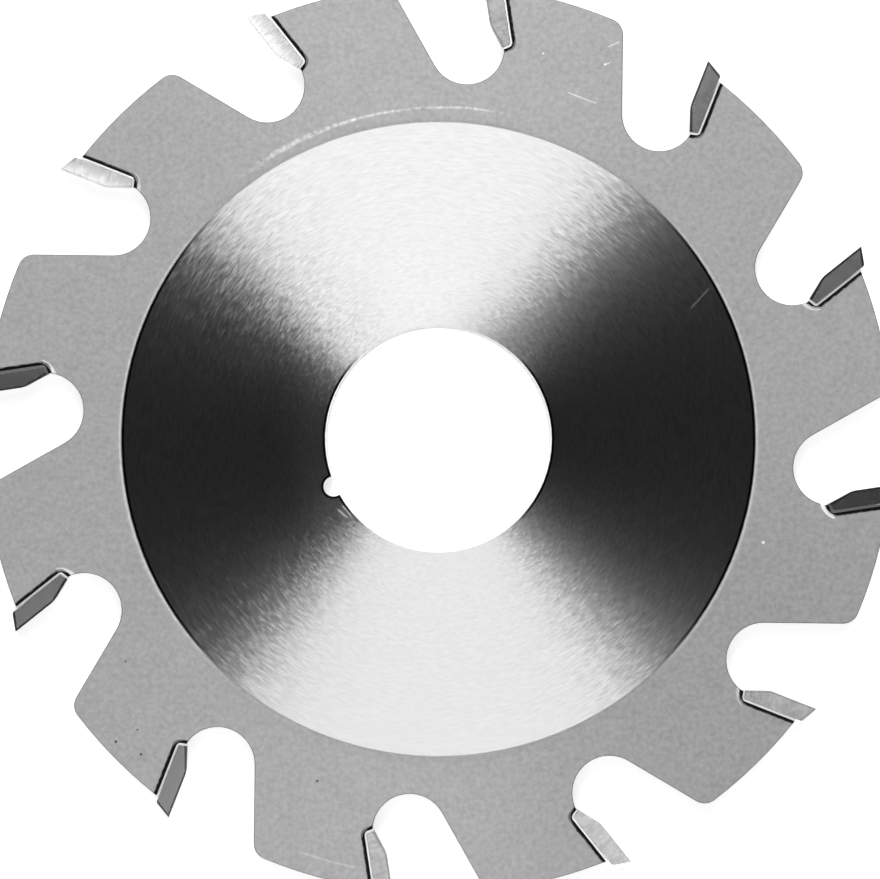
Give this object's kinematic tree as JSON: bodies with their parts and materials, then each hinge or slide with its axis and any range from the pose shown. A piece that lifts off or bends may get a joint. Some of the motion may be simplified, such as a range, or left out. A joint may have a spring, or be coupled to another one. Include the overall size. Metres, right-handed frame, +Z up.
{
  "type": "grooving cutter",
  "caption": "Flat disc cutter for milling grooves: one-piece steel body with turned hub, plain bore, deep chip gullets and brazed carbide tips.",
  "frame": {"origin": "on the bore axis, in the plane of the lower hub face that the cutter rests on", "axes": "+Z up along the bore axis; seen from above the cutting points face anticlockwise, and the first one stands 54.5 degrees from +X towards +Y; the small bore notch is at 204.3 degrees"},
  "size_m": [0.1244, 0.1244, 0.0042],
  "materials": {
    "body_steel": "fine matt ground plate, bright turned hub faces",
    "carbide": "ground tungsten carbide",
    "silver_solder": "bright silver solder"
  },
  "bodies": {
    "root": {"cutter_body": "body_steel", "carbide_tip_01": "carbide", "carbide_tip_02": "carbide", "carbide_tip_03": "carbide", "carbide_tip_04": "carbide", "carbide_tip_05": "carbide", "carbide_tip_06": "carbide", "carbide_tip_07": "carbide", "carbide_tip_08": "carbide", "carbide_tip_09": "carbide", "carbide_tip_10": "carbide", "carbide_tip_11": "carbide", "carbide_tip_12": "carbide", "braze_seam_01": "silver_solder", "braze_seam_02": "silver_solder", "braze_seam_03": "silver_solder", "braze_seam_04": "silver_solder", "braze_seam_05": "silver_solder", "braze_seam_06": "silver_solder", "braze_seam_07": "silver_solder", "braze_seam_08": "silver_solder", "braze_seam_09": "silver_solder", "braze_seam_10": "silver_solder", "braze_seam_11": "silver_solder", "braze_seam_12": "silver_solder"}
  },
  "joints": []
}
